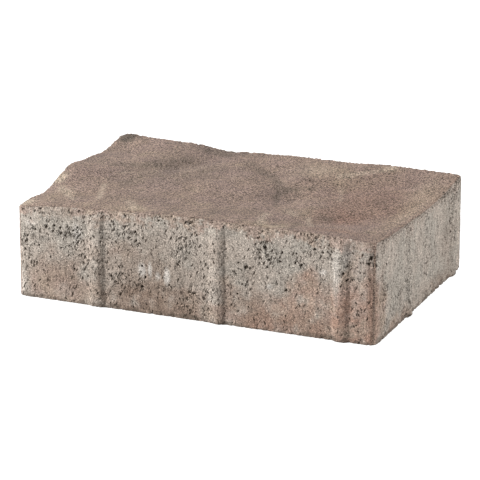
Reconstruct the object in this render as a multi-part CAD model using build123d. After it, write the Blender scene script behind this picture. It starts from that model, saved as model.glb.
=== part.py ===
"""Concrete paving stone: a rectangular stone pressed in one piece, with a flat base, plumb moulded
sides that carry half-round spacer nibs, and a riven top that rises and falls like split stone."""

from build123d import *
from math import ceil, cos, exp, radians, sin
import os

# Plan and height, in millimetres. The origin is the centre of the base, +X runs along the length,
# and the front is the long side towards -Y. The thickness is that of the stone below its relief.
length = 225.0
width = 150.0
thickness = 57.0
corner_radius = 5.0
arris_radius = 1.0

# Riven top: the relief is the height of a full swell, the reach is how far one spreads, and the
# survey step is the spacing of the heights that the surface passes through.
relief = 4.0
swell_reach = 20.0
survey_step = 6.0

# Spacer nibs: half-round ribs from the base to a little below the arris, that hold the joint open.
# Each side's row is shifted off its middle, so that the nibs of two stones laid side by side miss.
joint_gap = 3.6
nib_width = 10.5
nib_projection = 2.0
nib_drop = 0.5
nibs_on_long_side = 3
nibs_on_end = 2
long_side_shift = 15.2
end_shift = 19.0

half_length = length / 2
half_width = width / 2

# Swells and hollows of the riven top. Each is given by its place along the half length and across
# the half width, the heading of its long axis in degrees from the length, how far it spreads along
# and beside that axis in reaches, and its rise in reliefs.
swells = {
    "front crown": (0.25, -1.0, 0, 5.2, 1.7, 1.1),
    "front crest": (-0.08, -1.0, 0, 1.8, 1.2, 0.35),
    "front right crest": (0.8, -1.05, 0, 2.2, 0.9, 0.6),
    "front left fall": (-1.0, -1.0, 35, 1.0, 0.7, -0.6),
    "left flake": (-1.05, -0.55, 75, 0.9, 0.9, -1.1),
    "left dish": (-0.72, -0.58, 45, 0.7, 0.45, -0.3),
    "left hump": (-1.0, -0.04, 10, 1.5, 0.75, 0.8),
    "left saddle": (-1.0, 0.62, 0, 1.3, 0.75, -0.65),
    "left valley": (-0.44, 0.44, 58, 1.6, 0.5, -0.4),
    "back left lip": (-0.92, 1.04, 0, 0.5, 0.38, 0.4),
    "back left plain": (-0.7, 0.85, 20, 1.6, 1.0, 0.15),
    "back notch": (-0.36, 1.0, 75, 1.3, 0.7, -0.5),
    "middle swell": (-0.15, 0.0, 30, 2.4, 1.4, 0.45),
    "middle valley": (0.11, 0.33, 122, 2.6, 0.55, -0.5),
    "short valley": (0.32, 0.02, 40, 1.2, 0.45, -0.3),
    "split crest": (0.36, 0.62, 50, 1.8, 0.5, 0.35),
    "split fall": (0.6, 0.5, 50, 2.0, 0.8, -0.45),
    "right plain": (0.78, 0.98, 0, 1.6, 0.9, 0.5),
    "right saddle": (1.0, 0.35, 0, 1.6, 1.3, -0.45),
    "front dish": (0.72, -0.34, 49, 1.9, 0.7, -0.55),
}


def riven_height(x, y):
    """Height of the riven top above the base at a point of the plan."""
    height = thickness
    for along, across, heading, long_reach, side_reach, rise in swells.values():
        turn = radians(heading)
        dx = x - along * half_length
        dy = y - across * half_width
        run = (dx * cos(turn) + dy * sin(turn)) / (long_reach * swell_reach)
        side = (dy * cos(turn) - dx * sin(turn)) / (side_reach * swell_reach)
        height += rise * relief * exp(-run * run - side * side)
    return height


def riven_surface():
    """One smooth face through surveyed heights, reaching a step past the plan on every side."""
    columns = ceil(length / survey_step) + 2
    rows = ceil(width / survey_step) + 2
    stations = []
    for row in range(rows + 1):
        y = (row - rows / 2) * survey_step
        line = []
        for column in range(columns + 1):
            x = (column - columns / 2) * survey_step
            line.append((x, y, riven_height(x, y)))
        stations.append(line)
    return Face.make_surface_from_array_of_points(stations)


def moulded_block():
    """The stone without its nibs: the plan drawn up from the base to the riven surface."""
    plan = RectangleRounded(length, width, corner_radius)
    prism = extrude(plan, amount=2 * thickness)
    below_top = Solid.extrude(riven_surface(), Vector(0, 0, -2 * thickness))
    block = prism & below_top
    top_edges = block.faces().sort_by(Axis.Z)[-1].edges()
    return fillet(top_edges, arris_radius)


def nib(face_distance, along, turn):
    """One spacer nib on the side at this distance from the centre, turned about the centre.

    Its top is bevelled at 45 degrees, from its nose back to the side.
    """
    nib_radius = ((nib_width / 2) ** 2 + nib_projection**2) / (2 * nib_projection)
    foot = Plane.XY.rotated((0, 0, turn)).from_local_coords(Vector(along, -face_distance, 0))
    bevel_top = riven_height(foot.X, foot.Y) - arris_radius - nib_drop
    axis_distance = face_distance + nib_projection - nib_radius
    root = arris_radius
    rib = Pos(along, -axis_distance, 0) * extrude(Circle(nib_radius), amount=bevel_top + root)
    reach = 2 * nib_projection
    outline = Polygon(
        (root - face_distance, 0),
        (root - face_distance, bevel_top + root),
        (-reach - face_distance, bevel_top - reach),
        (-reach - face_distance, 0),
        align=None,
    )
    side_view = extrude(Plane.YZ.offset(along) * outline, amount=nib_radius, both=True)
    return Rot(0, 0, turn) * (rib & side_view)


def nib_row(face_distance, side_length, count, shift, turn):
    """The evenly spaced nibs of one side."""
    pitch = (side_length + joint_gap) / count
    row = []
    for index in range(count):
        along = shift + (index - (count - 1) / 2) * pitch
        row.append(nib(face_distance, along, turn))
    return row


def paving_stone():
    """The whole stone, as one solid."""
    stone = moulded_block()
    for turn in (0, 180):
        for one_nib in nib_row(half_width, length, nibs_on_long_side, long_side_shift, turn):
            stone += one_nib
        for one_nib in nib_row(half_length, width, nibs_on_end, end_shift, turn + 90):
            stone += one_nib
    return stone


os.makedirs("parts", exist_ok=True)
export_step(paving_stone(), "parts/paving_stone.step")
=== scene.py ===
from math import cos, radians, sin

import bmesh
import bpy
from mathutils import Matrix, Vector


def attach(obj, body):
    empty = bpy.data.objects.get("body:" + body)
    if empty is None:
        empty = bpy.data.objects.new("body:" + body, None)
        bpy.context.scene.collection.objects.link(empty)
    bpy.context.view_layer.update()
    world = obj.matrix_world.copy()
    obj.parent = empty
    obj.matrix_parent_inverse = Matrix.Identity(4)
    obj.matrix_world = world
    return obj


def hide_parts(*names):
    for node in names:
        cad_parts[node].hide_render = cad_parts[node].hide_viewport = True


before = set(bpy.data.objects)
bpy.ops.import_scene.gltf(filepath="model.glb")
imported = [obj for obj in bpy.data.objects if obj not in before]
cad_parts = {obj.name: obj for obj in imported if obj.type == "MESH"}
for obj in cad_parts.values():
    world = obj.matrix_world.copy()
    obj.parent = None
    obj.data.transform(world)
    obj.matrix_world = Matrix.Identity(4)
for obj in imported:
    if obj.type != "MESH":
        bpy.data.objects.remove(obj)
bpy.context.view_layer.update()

# The stone is one pressing of dry concrete, coloured through with brown, pink and grey mixes. The
# mould leaves its sides pitted, the press head leaves a riven top like split stone, and the arrises
# are worn. Its skin is a finer copy of the solid, so that pores and chips are real hollows in it.

MM = 0.001
half_length = 112.5
half_width = 75.0

skin_step = 0.5 * MM
most_triangles = 195000

# Depths and heights of the relief in millimetres
slot_depth = 0.9
pore_depth = 0.8
lump_height = 0.8
grain_height = 0.3
split_height = 0.4
crumb_height = 1.8
chip_depth = 0.9

# A point is sounded from above a little way in from its side, at this share of its distance out
sounding_share = (0.975, 0.962, 0.0)


def add_node(tree, kind, inputs, **settings):
    """A node with its settings made and its inputs joined or set."""
    made = tree.nodes.new(kind)
    for name, value in settings.items():
        setattr(made, name, value)
    for key, value in inputs.items():
        if isinstance(value, bpy.types.NodeSocket):
            tree.links.new(value, made.inputs[key])
        else:
            made.inputs[key].default_value = value
    return made


def maths(tree, operation, *values):
    """One sum on fields or plain numbers."""
    return add_node(tree, "ShaderNodeMath", dict(enumerate(values)), operation=operation).outputs[0]


def times(tree, first, *others):
    """The product of several fields or numbers."""
    for other in others:
        first = maths(tree, "MULTIPLY", first, other)
    return first


def plus(tree, first, *others):
    """The sum of several fields or numbers."""
    for other in others:
        first = maths(tree, "ADD", first, other)
    return first


def vector_maths(tree, operation, *values):
    """One sum on vectors."""
    made = add_node(tree, "ShaderNodeVectorMath", dict(enumerate(values)), operation=operation)
    return made.outputs["Value" if operation in ("DISTANCE", "DOT_PRODUCT", "LENGTH") else "Vector"]


def scaled(tree, vector, factor):
    """A vector or colour times a number."""
    inputs = {0: vector, "Scale": factor}
    return add_node(tree, "ShaderNodeVectorMath", inputs, operation="SCALE").outputs[0]


def ramp(tree, value, start, end, low=0.0, high=1.0):
    """Low up to the start, high past the end, and a smooth rise between them."""
    inputs = {"Value": value, "From Min": start, "From Max": end, "To Min": low, "To Max": high}
    made = add_node(tree, "ShaderNodeMapRange", inputs, interpolation_type="SMOOTHSTEP")
    return made.outputs["Result"]


def noise(tree, place, size, detail=2.0, roughness=0.5, distortion=0.0):
    """Cloudy noise about a half, with lumps of this size in millimetres."""
    inputs = {
        "Vector": place,
        "Scale": 1 / size,
        "Detail": detail,
        "Roughness": roughness,
        "Distortion": distortion,
    }
    return add_node(tree, "ShaderNodeTexNoise", inputs).outputs[0]


def split(tree, place):
    """The three coordinates of a place."""
    return add_node(tree, "ShaderNodeSeparateXYZ", {0: place}).outputs


def joined(tree, x, y, z):
    """A place from its three coordinates."""
    return add_node(tree, "ShaderNodeCombineXYZ", {0: x, 1: y, 2: z}).outputs[0]


def inset(tree, place):
    """How far a place is in from the nearest moulded side, in millimetres."""
    x, y, _ = split(tree, place)
    from_end = maths(tree, "SUBTRACT", half_length, maths(tree, "ABSOLUTE", x))
    from_front = maths(tree, "SUBTRACT", half_width, maths(tree, "ABSOLUTE", y))
    return maths(tree, "MINIMUM", from_end, from_front)


def warped(tree, place, size, reach):
    """The place pushed about by noise, so that what is drawn on it gets an uneven edge."""
    inputs = {"Vector": place, "Scale": 1 / size, "Detail": 2.0}
    push = add_node(tree, "ShaderNodeTexNoise", inputs).outputs["Color"]
    push = scaled(tree, vector_maths(tree, "SUBTRACT", push, (0.5, 0.5, 0.5)), reach)
    return vector_maths(tree, "ADD", place, push)


def patches(tree, place, chosen):
    """Soft oval patches, each with a centre, radii and a strength, laid over each other."""
    total = 0.0
    for centre, radii, strength in chosen:
        offset = vector_maths(tree, "SUBTRACT", place, centre)
        from_centre = vector_maths(tree, "LENGTH", vector_maths(tree, "DIVIDE", offset, radii))
        one = ramp(tree, from_centre, 1.0, 0.0, 0.0, strength)
        total = maths(tree, "ADD", total, one)
    return total


# Pores crowd where the mix was too dry to close, and are rare where it is below 0. Centres and
# radii are in millimetres.
pore_crowds = [
    ((-90, -75, 43), (20, 9, 10), 0.5),
    ((-76, -75, 44), (12, 9, 10), 0.4),
    ((-106, -75, 34), (10, 9, 26), 0.5),
    ((-38, -75, 49), (14, 9, 8), 0.6),
    ((-40, -75, 18), (22, 9, 14), 0.5),
    ((-8, -75, 44), (12, 9, 18), 0.6),
    ((-12, -75, 18), (16, 9, 8), 0.5),
    ((44, -75, 46), (24, 9, 13), 0.4),
    ((66, -75, 46), (20, 9, 11), 0.5),
    ((84, -75, 48), (12, 9, 12), 0.15),
    ((44, -75, 27), (26, 9, 8), 0.4),
    ((95, -75, 38), (10, 9, 8), 0.3),
    ((109, -74, 50), (7, 9, 9), 0.6),
    ((112, -62, 32), (9, 14, 34), 0.5),
    ((112, -20, 20), (9, 10, 40), 0.3),
    ((112, 14, 36), (9, 14, 20), 0.1),
    ((112, 54, 40), (9, 16, 34), 0.15),
    ((-112, 30, 40), (9, 44, 14), 0.6),
    ((-112, -50, 26), (9, 20, 24), 0.5),
    ((70, 75, 44), (30, 9, 12), 0.7),
    ((0, 75, 22), (40, 9, 16), 0.5),
    ((-70, 75, 46), (30, 9, 10), 0.7),
    ((66, -75, 12), (56, 9, 22), -0.5),
    ((-86, -75, 10), (26, 9, 18), -0.3),
    ((101, -75, 18), (16, 9, 26), -0.8),
    ((112, 20, 40), (9, 22, 26), -0.4),
]

# The largest pores on the front: distance along, height, length and breadth.
front_slots = [
    (-88.1, 46.1, 2.0, 1.2), (-84.2, 45.3, 1.8, 1.1), (-83.7, 42.0, 2.4, 1.3), (-81.1, 40.8, 1.8, 1.2),
    (-73.3, 46.8, 2.6, 1.1), (-72.7, 41.3, 3.0, 1.1), (-96.9, 56.0, 1.8, 1.4), (-77.6, 55.6, 1.5, 1.0),
    (-100.5, 42.6, 1.9, 1.1), (-105.5, 38.2, 1.6, 1.1), (-98.1, 32.7, 2.0, 1.0), (-107.3, 29.3, 2.0, 1.0),
    (-101.6, 22.0, 1.8, 1.2), (-75.6, 20.8, 2.4, 0.9), (-73.9, 20.7, 2.2, 0.9), (-83.5, 33.1, 1.5, 1.0),
    (-78.6, 35.0, 1.3, 1.0), (-42.5, 51.7, 2.4, 1.1), (-36.2, 49.2, 2.0, 1.2), (-39.7, 45.0, 1.6, 1.3),
    (-44.8, 22.4, 1.6, 1.2), (-51.8, 20.0, 1.6, 1.1), (-45.8, 9.5, 2.6, 1.2), (-32.0, 28.9, 1.8, 1.5),
    (-30.1, 22.0, 2.4, 1.2), (-32.1, 16.2, 2.2, 1.6), (-14.9, 19.7, 2.0, 1.2), (-9.3, 32.6, 1.8, 1.5),
    (-7.2, 49.3, 2.2, 1.0), (-7.2, 42.6, 2.8, 1.0), (-4.2, 59.0, 1.6, 1.1), (-0.3, 52.1, 1.5, 1.2),
    (13.4, 49.0, 1.8, 1.0), (14.7, 44.3, 1.6, 1.1), (40.5, 55.3, 1.5, 1.3), (44.9, 50.3, 2.0, 1.7),
    (54.2, 43.0, 2.0, 1.7), (47.5, 43.3, 1.8, 1.1), (55.4, 48.7, 1.7, 1.4), (64.0, 49.2, 1.7, 1.4),
    (63.4, 43.6, 2.2, 1.0), (67.1, 42.6, 2.4, 1.2), (75.5, 53.2, 1.4, 1.2), (80.4, 51.9, 1.7, 1.2),
    (87.0, 54.7, 1.6, 1.1), (28.3, 38.9, 1.6, 1.3), (33.3, 37.1, 2.2, 2.1), (46.2, 38.6, 2.0, 1.5),
    (58.0, 26.3, 1.7, 1.5), (27.7, 20.2, 1.6, 1.2), (28.3, 9.6, 1.7, 1.0), (109.3, 52.2, 2.4, 2.4),
    (108.1, 48.6, 2.2, 1.9), (111.2, 47.6, 2.6, 1.8), (93.4, 41.7, 1.6, 1.4), (95.6, 37.8, 2.0, 1.1),
]
slot_slant = radians(-26)
slot_reach = 6.0
pore_edge = 0.03


def crowding(tree, place, below_top):
    """How closely the pores stand, from 0 in tight concrete to about 1 in open concrete."""
    drift = ramp(tree, noise(tree, place, 22, 2), 0.40, 0.70, 0.0, 0.5)
    under_arris = ramp(tree, below_top, 7.0, 2.0, 0.0, 0.2)
    return plus(tree, drift, patches(tree, warped(tree, place, 9, 9), pore_crowds), under_arris)


def slanted(tree, place):
    """The place on axes along and across the slant that the filling of the mould gave the pores."""
    inputs = {"Vector": place, "Angle": slot_slant}
    return add_node(tree, "ShaderNodeVectorRotate", inputs, rotation_type="Y_AXIS").outputs[0]


def slots(tree, place):
    """The largest pores: 1 inside them and 0 outside."""
    uneven = warped(tree, place, 1.6, 1.8)
    deepest = 0.0
    for along, height, length, breadth in front_slots:
        offset = slanted(tree, vector_maths(tree, "SUBTRACT", uneven, (along, -half_width, height)))
        offset = vector_maths(tree, "DIVIDE", offset, (breadth / 2, slot_reach, length / 2))
        one = ramp(tree, vector_maths(tree, "LENGTH", offset), 1.15, 0.7)
        deepest = maths(tree, "MAXIMUM", deepest, one)
    return deepest


def pores(tree, place, size, rarest, commonest, crowd):
    """Pores of one size: 1 in a pore's middle, and 0 between pores."""
    stretched = vector_maths(tree, "MULTIPLY", slanted(tree, place), (1.0, 1.0, 0.6))
    cloud = noise(tree, stretched, size, 1.5, 0.6, 0.4)
    over = maths(tree, "SUBTRACT", cloud, ramp(tree, crowd, 0.0, 1.2, rarest, commonest))
    return ramp(tree, over, 0.0, pore_edge)


# Sharp little crests and clefts where the riven top split: start and end in plan, breadth and rise,
# which is below 0 for a cleft.
split_lines = [
    ((-80, -2), (-60, 16), 5.0, 0.15),
    ((-46, 16), (-38, 34), 5.0, 0.15),
    ((-104, -32), (-84, -56), 5.0, 0.35),
    ((-79, -24), (-70, -52), 4.0, 0.35),
    ((-50, -52), (-40, -68), 6.0, 0.3),
    ((46, 44), (70, 70), 5.0, 0.45),
    ((52, 28), (60, 4), 4.0, 0.2),
    ((32, -42), (38, -68), 5.0, 0.35),
    ((40, -24), (46, -34), 6.0, 0.25),
    ((56, -36), (64, -52), 4.0, 0.35),
    ((20, 12), (24, -8), 4.0, -0.4),
    ((24, -8), (30, -22), 4.0, -0.25),
    ((-18, 54), (0, 36), 8.0, -0.25),
    ((4, 34), (20, 12), 8.0, -0.3),
    ((22, 12), (38, 20), 7.0, -0.25),
    ((-16, -60), (-18, -72), 5.0, -0.3),
    ((2, -46), (6, -64), 6.0, -0.2),
    ((54, -46), (58, -66), 4.0, -0.25),
    ((-90, 14), (-66, 24), 8.0, -0.2),
]


def ridges(tree, place):
    """The split lines of the top: their rise in millimetres."""
    x, y, _ = split(tree, warped(tree, place, 10, 6))
    flat = joined(tree, x, y, 0.0)
    rise = 0.0
    for start, end, breadth, height in split_lines:
        run = Vector((end[0] - start[0], end[1] - start[1], 0))
        offset = vector_maths(tree, "SUBTRACT", flat, (start[0], start[1], 0))
        along = vector_maths(tree, "DOT_PRODUCT", offset, tuple(run / run.length_squared))
        along = maths(tree, "MINIMUM", maths(tree, "MAXIMUM", along, 0.0), 1.0)
        away = vector_maths(tree, "DISTANCE", offset, scaled(tree, tuple(run), along))
        rise = maths(tree, "ADD", rise, ramp(tree, away, breadth, 0.0, 0.0, height))
    return rise


def pits(tree, place, slant, spacing, rarest, commonest, crowd):
    """Small pits drawn out along a slant, one in some cells: how dark their painted shade is, and their
    dips.
    """
    turned = add_node(
        tree, "ShaderNodeVectorRotate", {"Vector": place, "Angle": slant}, rotation_type="Y_AXIS"
    ).outputs[0]
    stretched = vector_maths(tree, "MULTIPLY", turned, (1.0, 1.0, 0.45))
    uneven = warped(tree, stretched, 0.7, 0.7)
    cells = add_node(tree, "ShaderNodeTexVoronoi", {"Vector": uneven, "Scale": 1 / spacing})
    chance, breadth, depth = split(tree, cells.outputs["Color"])
    chosen = maths(tree, "GREATER_THAN", ramp(tree, crowd, 0.0, 1.2, rarest, commonest), chance)
    chosen = times(tree, chosen, ramp(tree, depth, 0.0, 0.8, 0.6, 1.0))
    inside = maths(tree, "SUBTRACT", ramp(tree, breadth, 0.0, 1.0, 0.22, 0.46), cells.outputs["Distance"])
    dark_and_shade = times(tree, ramp(tree, inside, 0.0, 0.1), chosen)
    dip = times(tree, ramp(tree, inside, -0.22, 0.1), chosen)
    return dark_and_shade, dip


def side_face(tree, place):
    """1 on the moulded sides and 0 on the top."""
    return ramp(tree, inset(tree, place), 1.4, 0.6)


def weathering():
    """Geometry nodes that wear and pit the skin, and keep where each point was cast."""
    tree = bpy.data.node_groups.new("weathering", "GeometryNodeTree")
    tree.interface.new_socket("Geometry", in_out="INPUT", socket_type="NodeSocketGeometry")
    tree.interface.new_socket("Geometry", in_out="OUTPUT", socket_type="NodeSocketGeometry")
    skin = tree.nodes.new("NodeGroupInput").outputs[0]
    position = tree.nodes.new("GeometryNodeInputPosition").outputs[0]
    normal = tree.nodes.new("GeometryNodeInputNormal").outputs[0]
    place = vector_maths(tree, "MULTIPLY", position, (1000, 1000, 1000))
    x, y, z = split(tree, place)

    # How far below the riven top each point lies, sounded from above a little way in
    above = vector_maths(tree, "MULTIPLY", position, sounding_share)
    above = vector_maths(tree, "ADD", above, (0, 0, 0.1))
    sounding = {
        "Target Geometry": skin,
        "Source Position": above,
        "Ray Direction": (0, 0, -1),
        "Ray Length": 0.2,
    }
    down = add_node(tree, "GeometryNodeRaycast", sounding)
    top_z = maths(tree, "MULTIPLY", split(tree, down.outputs["Hit Position"])[2], 1000)
    below_top = maths(tree, "SUBTRACT", top_z, z)

    # Relief along the normal: lumps and grains all over, pores on the sides
    side = side_face(tree, place)
    off_base = ramp(tree, z, 0.3, 1.5)
    crowd = crowding(tree, place, below_top)
    big = times(tree, pores(tree, place, 1.8, 0.72, 0.61, crowd), -pore_depth)
    slot = times(tree, slots(tree, place), -slot_depth)
    hollow = maths(tree, "MINIMUM", big, slot)
    lumps = times(tree, maths(tree, "SUBTRACT", noise(tree, place, 9, 3, 0.55), 0.6), lump_height)
    grains = times(tree, maths(tree, "SUBTRACT", noise(tree, place, 2.0, 2, 0.6), 0.6), grain_height)
    riven = times(tree, ridges(tree, place), maths(tree, "SUBTRACT", 1.0, side), split_height)
    in_from_side = maths(tree, "MAXIMUM", inset(tree, place), 0.0)
    near_arris = ramp(tree, plus(tree, in_from_side, maths(tree, "ABSOLUTE", below_top)), 3.4, 0.6)
    crumbs = maths(tree, "SUBTRACT", noise(tree, place, 1.8, 2, 0.6), 0.5)
    crumbs = times(tree, crumbs, near_arris, crumb_height)
    relief = plus(tree, times(tree, hollow, side), lumps, grains, riven, crumbs)
    relief = times(tree, relief, off_base, MM)
    along_normal = scaled(tree, normal, relief)

    # Chips along the arris and the foot, pushed straight in
    near_foot = ramp(tree, plus(tree, in_from_side, z), 4.5, 0.5)
    arris_chips = ramp(tree, noise(tree, place, 2.6, 2, 0.6), 0.50, 0.68, 0.05, chip_depth)
    foot_chips = ramp(tree, noise(tree, place, 3.4, 3, 0.65), 0.46, 0.68, 0.0, chip_depth)
    depth = plus(tree, times(tree, near_arris, arris_chips), times(tree, near_foot, foot_chips))
    outward_x = maths(tree, "SUBTRACT", maths(tree, "ABSOLUTE", x), half_length - 3)
    outward_y = maths(tree, "SUBTRACT", maths(tree, "ABSOLUTE", y), half_width - 3)
    inward_x = times(tree, maths(tree, "MAXIMUM", outward_x, 0.0), maths(tree, "SIGN", x), -1)
    inward_y = times(tree, maths(tree, "MAXIMUM", outward_y, 0.0), maths(tree, "SIGN", y), -1)
    drop = times(tree, near_arris, -1.5)
    inward = vector_maths(tree, "NORMALIZE", joined(tree, inward_x, inward_y, drop))
    chip = scaled(tree, inward, times(tree, depth, MM))
    offset = vector_maths(tree, "ADD", along_normal, chip)

    kept = skin
    for name, value, kind in (("cast_place", place, "FLOAT_VECTOR"), ("below_top", below_top, "FLOAT")):
        inputs = {"Geometry": kept, "Name": name, "Value": value}
        kept = add_node(
            tree, "GeometryNodeStoreNamedAttribute", inputs, data_type=kind, domain="POINT"
        ).outputs[0]
    worn = add_node(tree, "GeometryNodeSetPosition", {"Geometry": kept, "Offset": offset}).outputs[0]
    tree.links.new(worn, tree.nodes.new("NodeGroupOutput").inputs[0])
    return tree


def merged_copy(node):
    """The mesh of a CAD node with its loose triangles joined."""
    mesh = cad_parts[node].data.copy()
    whole = bmesh.new()
    whole.from_mesh(mesh)
    bmesh.ops.remove_doubles(whole, verts=whole.verts, dist=1e-6)
    whole.to_mesh(mesh)
    whole.free()
    return mesh


def applied(piece):
    """The piece with its modifiers made part of its mesh."""
    depsgraph = bpy.context.evaluated_depsgraph_get()
    piece.data = bpy.data.meshes.new_from_object(piece.evaluated_get(depsgraph))
    piece.modifiers.clear()
    return piece


stone = bpy.data.objects.new("stone_skin", merged_copy("paving_stone"))
bpy.context.scene.collection.objects.link(stone)
skin = stone.modifiers.new("skin", "REMESH")
skin.mode = "VOXEL"
skin.voxel_size = skin_step
wear = stone.modifiers.new("wear", "NODES")
wear.node_group = weathering()
applied(stone)
thin = stone.modifiers.new("thin", "DECIMATE")
thin.ratio = most_triangles / (2 * len(stone.data.polygons))
applied(stone)
stone.data.shade_smooth()


def mixed(tree, factor, first, second, blend="MIX"):
    """Two colours, the second laid over the first by the factor."""
    inputs = {0: factor, 6: first, 7: second}
    made = add_node(tree, "ShaderNodeMix", inputs, data_type="RGBA", blend_type=blend)
    return made.outputs[2]


def written(red, green, blue):
    """A colour as the eye's 0 to 255 values, turned into the renderer's light."""
    light = []
    for value in (red, green, blue):
        share = value / 255
        light.append(share / 12.92 if share <= 0.04045 else ((share + 0.055) / 1.055) ** 2.4)
    return (*light, 1.0)


cement_grey = written(179, 168, 157)
cement_cool = written(170, 162, 152)
face_pink = written(168, 148, 136)
face_tan = written(172, 154, 139)
iron_red = written(165, 135, 119)
damp_brown = written(134, 116, 103)
# painted shade along the foot
foot_shade_grey = written(106, 94, 84)
top_brown = written(146, 126, 113)
top_mauve = written(143, 123, 113)
top_straw = written(156, 138, 119)
top_red = written(140, 114, 101)
top_dark_and_shade = written(104, 92, 82)
# pale worn top, also the painted highlight on the split crests
top_pale_and_highlight = written(186, 169, 150)
lime_and_highlight_pale = written(204, 197, 189)
# painted shade for the inside of the pores and pits
pore_shade = written(56, 46, 36)

# Where each mix shows. Centres and radii are in millimetres, then how strong it is.
pink_areas = [
    ((-86, -75, 10), (40, 9, 24), 1.0),
    ((-66, -75, 34), (12, 9, 12), 0.5),
    ((-44, -75, 36), (14, 9, 12), 0.5),
    ((-10, -75, 4), (70, 9, 20), 1.0),
    ((22, -75, 24), (16, 9, 12), 0.6),
    ((70, -75, 30), (20, 9, 14), 1.0),
    ((70, -75, 4), (60, 9, 30), 1.2),
    ((102, -75, 22), (24, 9, 34), 1.6),
    ((95, -76, 36), (6, 9, 30), 1.2),
    ((112, -66, 22), (9, 14, 32), 1.0),
    ((112, -40, 2), (9, 40, 7), 0.7),
    ((-92, -75, 55), (28, 9, 12), -0.6),
    ((-112, -20, 12), (9, 60, 20), 1.0),
    ((-112, 50, 34), (9, 30, 18), 0.8),
    ((60, 75, 8), (60, 9, 22), 1.0),
    ((-10, 75, 40), (40, 9, 16), 0.7),
    ((-80, 75, 14), (40, 9, 24), 1.0),
]
red_areas = [
    ((46, -75, 8), (28, 9, 16), 0.8),
    ((70, -75, 34), (16, 9, 12), 0.6),
    ((76, -75, 3), (60, 9, 13), 0.8),
    ((88, -75, 12), (22, 9, 26), 0.7),
    ((106, -74, 22), (12, 9, 40), 0.9),
    ((-90, -75, 30), (20, 9, 10), 0.3),
    ((-2, -75, 3), (14, 9, 8), 0.6),
    ((22, -75, 12), (12, 9, 12), 0.3),
    ((62, -75, 20), (40, 9, 18), 0.6),
    ((100, -75, 16), (20, 9, 36), 0.7),
]
damp_areas = [
    ((-36, -75, 8), (46, 9, 21), 0.9),
    ((-56, -75, 22), (12, 9, 34), 0.3),
    ((-34, -75, 30), (32, 9, 24), 0.55),
    ((-10, -75, 24), (34, 9, 24), 0.45),
    ((-10, -75, 4), (50, 9, 14), 0.4),
    ((30, -75, 16), (26, 9, 20), 0.5),
    ((34, -75, 34), (16, 9, 14), 0.3),
    ((-84, -75, 18), (32, 9, 20), 0.6),
    ((-20, -75, 46), (30, 9, 14), 0.2),
    ((18, -75, 44), (16, 9, 16), 0.35),
    ((-84, -75, 54), (20, 9, 8), 0.3),
    ((42, -75, 14), (24, 9, 14), 0.3),
    ((66, -75, 6), (54, 9, 14), 0.45),
    ((112, 34, 3), (9, 44, 10), 0.7),
    ((112, -30, 3), (9, 44, 9), 0.5),
    ((112, 46, 28), (9, 18, 44), 0.35),
]
# The rounded near corner: iron red, partly its warm stain and partly painted shade that darkens the strip
# between the lights
corner_red_and_shade_areas = [
    ((110, -75, 20), (5.5, 5.5, 46), 0.8),
]
# Pale lime and cement skin, and painted light on nib 3
lime_and_highlight_areas = [
    ((-32, -75, 26.5), (3.6, 9, 6), 1.3),
    ((-27, -75, 27.5), (2.2, 9, 7), 1.1),
    ((-22, -75, 24), (2.4, 9, 4), 0.7),
    ((-16.3, -75, 24.5), (3, 9, 8), 1.3),
    ((48, -75, 27), (3, 9, 3), 0.7),
    ((80.5, -75, 40), (4, 9, 3.5), 0.8),
    ((-73.5, -75, 44), (5, 9, 8), 1.0),
    ((-104, -75, 46), (6, 9, 4), 0.5),
    # Painted light on nib 3: a painted highlight on its lit upper left, and the top of its shaded right
    # flank lightened as painted light
    ((89, -76, 42), (5, 9, 22), 0.5),
    ((95, -76, 52), (4, 9, 12), 0.6),
    ((102, -75, 40), (9, 9, 30), 0.25),
    ((-110, -75, 8), (9, 9, 16), 0.4),
]
top_red_areas = [
    ((78, 10, 57), (46, 62, 30), 0.8),
    ((72, -28, 57), (28, 24, 30), 0.8),
    ((80, -60, 57), (26, 14, 30), 0.8),
]
# Dark patches on the top: partly a darker mix, partly painted shade in its valleys, its dish and in front
# of the back left lip
top_dark_and_shade_areas = [
    ((-60, 38, 57), (28, 30, 30), 0.6),
    ((-42, 66, 57), (26, 16, 30), 0.5),
    ((-106, 70, 57), (13, 13, 30), 1.4),
    ((-104, 34, 57), (18, 50, 30), 0.3),
    ((-54, 8, 57), (42, 36, 30), 0.4),
    ((-82, 18, 57), (22, 14, 30), 0.25),
    ((-33, 34, 57), (15, 36, 30), 0.35),
    ((-12, 38, 57), (10, 12, 30), 0.3),
    ((-72, -18, 57), (13, 15, 30), 0.5),
    ((-50, -44, 57), (40, 28, 30), 0.25),
    ((22, 4, 57), (12, 18, 30), 0.35),
    ((20, -42, 57), (22, 18, 30), 0.25),
    ((65, -30, 57), (12, 13, 30), 0.6),
    ((84, 10, 57), (13, 15, 30), 0.35),
    ((52, -8, 57), (10, 14, 30), 0.3),
    ((6, -56, 57), (14, 12, 30), 0.25),
    ((-40, 68, 57), (56, 14, 30), 0.25),
    ((-24, 10, 57), (16, 16, 30), 0.25),
    ((-66, -14, 57), (14, 10, 30), 0.2),
]
top_pale_areas = [
    ((-110, -21, 57), (8, 12, 30), 1.0),
    ((-110, -66, 57), (9, 10, 30), 1.0),
    ((-98, -38, 57), (10, 6, 30), 0.2),
    ((26, 50, 57), (20, 24, 30), 0.2),
    ((50, -68, 57), (12, 8, 30), 0.3),
    ((-42, -64, 57), (12, 10, 30), 0.2),
    ((106, 4, 57), (8, 60, 30), 0.25),
    ((97, 38, 57), (12, 40, 30), 0.25),
]
top_straw_areas = [
    ((32, 54, 57), (30, 26, 30), 0.6),
    ((52, 34, 57), (20, 20, 30), 0.4),
    ((-96, -50, 57), (30, 26, 30), 0.45),
    ((50, -30, 57), (16, 14, 30), 0.5),
    ((-40, -66, 57), (30, 12, 30), 0.7),
    ((44, -66, 57), (24, 10, 30), 1.0),
    ((104, 10, 57), (12, 80, 30), 0.7),
]


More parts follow.
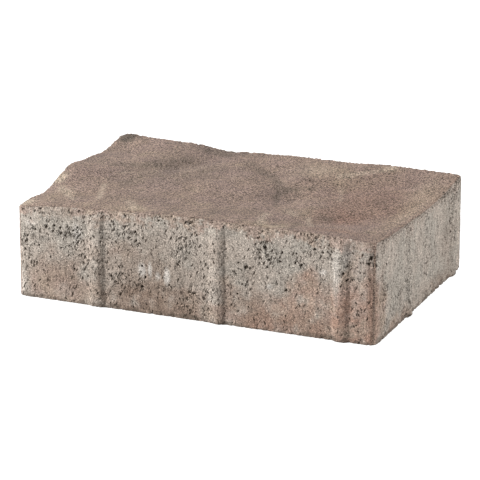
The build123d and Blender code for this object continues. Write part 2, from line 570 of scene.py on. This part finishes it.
def concrete():
    """The coloured concrete: its mixes, grains and pores."""
    material = bpy.data.materials.new("concrete")
    material.use_nodes = True
    tree = material.node_tree
    shader = tree.nodes["Principled BSDF"]
    shader.inputs["Roughness"].default_value = 0.93
    shader.inputs["Specular IOR Level"].default_value = 0.2
    place = add_node(tree, "ShaderNodeAttribute", {}, attribute_name="cast_place").outputs["Vector"]
    below_top = add_node(tree, "ShaderNodeAttribute", {}, attribute_name="below_top").outputs["Fac"]
    side = side_face(tree, place)
    x, _, z = split(tree, place)
    drifting = warped(tree, place, 12, 22)
    wander = noise(tree, place, 12, 4, 0.65)

    # Sides: grey cement with pink, red and damp brown areas, and the pink ragged along the arris
    cement = mixed(tree, ramp(tree, noise(tree, place, 18, 3), 0.4, 0.6), cement_grey, cement_cool)
    pink = mixed(tree, ramp(tree, noise(tree, place, 11, 3), 0.4, 0.6), face_pink, face_tan)
    ragged = times(tree, maths(tree, "SUBTRACT", noise(tree, place, 6, 3, 0.65), 0.5), 30)
    rim = ramp(tree, maths(tree, "ADD", below_top, ragged), 8.0, 2.0, 0.0, 1.0)
    on_end = ramp(tree, maths(tree, "ABSOLUTE", x), 111, 112.4, 1.0, 0.35)
    rim = times(tree, rim, on_end)
    pinkness = plus(tree, patches(tree, drifting, pink_areas), times(tree, rim, 0.75))
    pinkness = ramp(tree, pinkness, -0.1, 0.9)
    side_colour = mixed(tree, pinkness, cement, pink)
    redness = times(tree, patches(tree, drifting, red_areas), ramp(tree, wander, 0.3, 0.62))
    side_colour = mixed(tree, maths(tree, "MINIMUM", redness, 1.0), side_colour, iron_red)
    damp = maths(tree, "MINIMUM", patches(tree, drifting, damp_areas), 1.0)
    side_colour = mixed(tree, damp, side_colour, damp_brown)
    # The near corner is laid with iron red, partly a warm stain and partly painted shade
    corner_red_and_shade = maths(tree, "MINIMUM", patches(tree, place, corner_red_and_shade_areas), 1.0)
    side_colour = mixed(tree, corner_red_and_shade, side_colour, iron_red)
    # Pale lime skin, with painted highlight on nib 3
    lime_and_highlight = patches(tree, warped(tree, place, 2, 2), lime_and_highlight_areas)
    side_colour = mixed(tree, maths(tree, "MINIMUM", lime_and_highlight, 0.8), side_colour, lime_and_highlight_pale)

    # Top: brown with mauve and straw drifts, darker patches that are partly painted shade in its hollows,
    # and painted highlight and shade on its split lines
    top_colour = mixed(tree, ramp(tree, noise(tree, place, 26, 3, 0.6), 0.42, 0.62), top_brown, top_mauve)
    straw = ramp(tree, noise(tree, place, 15, 4, 0.65), 0.52, 0.7, 0.0, 0.5)
    straw = plus(tree, straw, patches(tree, drifting, top_straw_areas))
    top_colour = mixed(tree, maths(tree, "MINIMUM", straw, 1.0), top_colour, top_straw)
    red = maths(tree, "MINIMUM", patches(tree, drifting, top_red_areas), 1.0)
    top_colour = mixed(tree, red, top_colour, top_red)
    # Dark patches, partly darker mix and partly painted shade
    dark_and_shade = maths(tree, "MINIMUM", patches(tree, drifting, top_dark_and_shade_areas), 1.0)
    top_colour = mixed(tree, dark_and_shade, top_colour, top_dark_and_shade)
    worn = maths(tree, "MINIMUM", patches(tree, warped(tree, place, 4, 5), top_pale_areas), 1.0)
    top_colour = mixed(tree, worn, top_colour, top_pale_and_highlight)
    # Painted light on the split lines: crests lightened as painted highlight, clefts darkened as painted
    # shade
    crest = ridges(tree, place)
    top_colour = mixed(tree, ramp(tree, crest, 0.0, 0.4, 0.0, 0.5), top_colour, top_pale_and_highlight)
    top_colour = mixed(tree, ramp(tree, crest, 0.0, -0.4, 0.0, 0.6), top_colour, top_dark_and_shade)
    colour = mixed(tree, side, top_colour, side_colour)

    # Sand grains, each of its own shade, and plainer on the sides, where the cement covers them and
    # is drawn into upright streaks
    cells = add_node(tree, "ShaderNodeTexVoronoi", {"Vector": place, "Scale": 1 / 0.55})
    shade, pale = split(tree, cells.outputs["Color"])[:2]
    fine = noise(tree, place, 0.75, 2, 0.7)
    contrast = ramp(tree, side, 0.0, 1.0, 1.3, 0.75)
    spread = plus(tree, ramp(tree, shade, 0.0, 1.0, -0.42, 0.42), ramp(tree, fine, 0.3, 0.7, -0.45, 0.45))
    drawn = vector_maths(tree, "MULTIPLY", place, (1.0, 1.0, 0.12))
    streak = times(tree, ramp(tree, noise(tree, drawn, 1.1, 2), 0.35, 0.65, -0.14, 0.14), side)
    swept = vector_maths(tree, "MULTIPLY", place, (1.0, 0.4, 1.0))
    drift = ramp(tree, noise(tree, swept, 7, 2), 0.35, 0.65, -0.07, 0.07)
    drift = times(tree, drift, maths(tree, "SUBTRACT", 1.0, side))
    glint = ramp(tree, pale, 0.86, 1.0, 0.0, 0.8)
    tone = plus(tree, 1.0, times(tree, spread, contrast), streak, drift, glint)
    colour = scaled(tree, colour, tone)

    # Pores and pits, painted dark as shade in their hollows, with more of them just under the arris of
    # the two ends
    crowd = crowding(tree, place, below_top)
    brink = times(tree, ramp(tree, below_top, 3.0, 1.2), ramp(tree, maths(tree, "ABSOLUTE", x), 111, 112))
    crowd = plus(tree, crowd, times(tree, brink, 0.3))
    big = pores(tree, place, 1.8, 0.72, 0.61, crowd)
    small = pores(tree, place, 1.0, 0.70, 0.59, crowd)
    rising, rising_dip = pits(tree, place, slot_slant, 1.15, 0.07, 0.85, crowd)
    falling, falling_dip = pits(tree, place, -1.2 * slot_slant, 1.05, 0.05, 0.55, crowd)
    pore_shade_mask = maths(tree, "MAXIMUM", maths(tree, "MAXIMUM", big, small), slots(tree, place))
    pore_shade_mask = maths(tree, "MAXIMUM", pore_shade_mask, maths(tree, "MAXIMUM", rising, falling))
    colour = mixed(tree, times(tree, pore_shade_mask, side, 0.9), colour, pore_shade)

    # The foot is painted with shade: a dark grey band just above the floor, where the stone meets it
    foot_shade = ramp(tree, plus(tree, z, times(tree, ragged, 0.35)), 3.2, 0.4, 0.0, 0.7)
    colour = mixed(tree, times(tree, foot_shade, side), colour, foot_shade_grey)
    tree.links.new(colour, shader.inputs["Base Color"])

    # Finer relief than the mesh can hold: the grains, and the dips round the small pores and pits
    grain = noise(tree, place, 0.9, 2, 0.6)
    grain = times(tree, grain, ramp(tree, side, 0.0, 1.0, 0.9, 0.5))
    dips = maths(tree, "MAXIMUM", rising_dip, falling_dip)
    relief = plus(tree, grain, times(tree, small, side, -0.8), times(tree, dips, side, -1.7))
    bump = add_node(tree, "ShaderNodeBump", {"Height": relief, "Distance": 0.5 * MM, "Strength": 1.0})
    tree.links.new(bump.outputs[0], shader.inputs["Normal"])
    return material


stone.data.materials.clear()
stone.data.materials.append(concrete())
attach(stone, "root")
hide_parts("paving_stone")

# The floor is a plain white sheet that the stone lies on. The camera sees it lit to white, and it
# keeps the soft shadow under the stone.

floor_size = 6.0
floor_grey = 0.4
floor_glow = 0.9

bpy.ops.mesh.primitive_plane_add(size=floor_size)
floor = bpy.context.object
floor.name = "floor"


def floor_paper():
    """Matt white paper, with a glow that only the camera sees."""
    material = bpy.data.materials.new("floor_paper")
    material.use_nodes = True
    tree = material.node_tree
    shader = tree.nodes["Principled BSDF"]
    shader.inputs["Base Color"].default_value = (floor_grey, floor_grey, floor_grey, 1)
    shader.inputs["Roughness"].default_value = 1.0
    shader.inputs["Specular IOR Level"].default_value = 0.0
    shader.inputs["Emission Color"].default_value = (1, 1, 1, 1)
    seen = tree.nodes.new("ShaderNodeLightPath").outputs["Is Camera Ray"]
    tree.links.new(maths(tree, "MULTIPLY", seen, floor_glow), shader.inputs["Emission Strength"])
    return material


floor.data.materials.append(floor_paper())

# Studio light: a key box in front and to the left, a wide box off to the right that lights the end,
# and a box behind to the left that rakes over the riven top. All three stand low, in a dim white room,
# and the near corner faces between them, so it stays darker than both sides.

box_aim = Vector((0, 0, 0.03))
room_light = 0.18


def towards(azimuth, elevation):
    """The direction from the stone at this azimuth and elevation in degrees; 0, 0 is the front."""
    turn = radians(azimuth)
    rise = radians(elevation)
    return Vector((sin(turn) * cos(rise), -cos(turn) * cos(rise), sin(rise)))


def softbox(name, azimuth, elevation, distance, size, power):
    """A square light that faces the stone."""
    light = bpy.data.lights.new(name, "AREA")
    light.shape = "SQUARE"
    light.size = size
    light.energy = power
    box = bpy.data.objects.new(name, light)
    back = towards(azimuth, elevation)
    box.location = box_aim + back * distance
    box.rotation_euler = (-back).to_track_quat("-Z", "Y").to_euler()
    bpy.context.scene.collection.objects.link(box)


softbox("key_box", azimuth=-50, elevation=18, distance=2.2, size=0.55, power=56)
softbox("end_box", azimuth=98, elevation=18, distance=1.4, size=0.9, power=14)
softbox("back_box", azimuth=-140, elevation=25, distance=1.4, size=0.4, power=14)

world = bpy.data.worlds.new("studio")
bpy.context.scene.world = world
world.use_nodes = True
room = world.node_tree
room_shade = room.nodes["Background"]
room_shade.inputs["Color"].default_value = (1, 1, 1, 1)
room_shade.inputs["Strength"].default_value = room_light
backdrop = add_node(room, "ShaderNodeBackground", {"Color": (1, 1, 1, 1), "Strength": 1.0})
seen = room.nodes.new("ShaderNodeLightPath").outputs["Is Camera Ray"]
both = add_node(room, "ShaderNodeMixShader", {0: seen, 1: room_shade.outputs[0], 2: backdrop.outputs[0]})
room.links.new(both.outputs[0], room.nodes["World Output"].inputs["Surface"])

# Camera at the photograph's angle, a long lens about two metres off.

camera_azimuth = 22.65
camera_elevation = 18.88
camera_distance = 1.97161
camera_shift = (-0.0016, -0.00439)

lens = bpy.data.cameras.new("camera")
lens.sensor_width = 36
lens.lens = 248.3
lens.clip_start = 0.05
lens.clip_end = 50
camera = bpy.data.objects.new("camera", lens)
bpy.context.scene.collection.objects.link(camera)
bpy.context.scene.camera = camera
back = towards(camera_azimuth, camera_elevation)
right = (-back).cross(Vector((0, 0, 1))).normalized()
up = right.cross(-back)
camera.location = box_aim + right * camera_shift[0] + up * camera_shift[1] + back * camera_distance
camera.rotation_mode = "QUATERNION"
camera.rotation_quaternion = (-back).to_track_quat("-Z", "Y")
bpy.context.scene.view_settings.view_transform = "Standard"
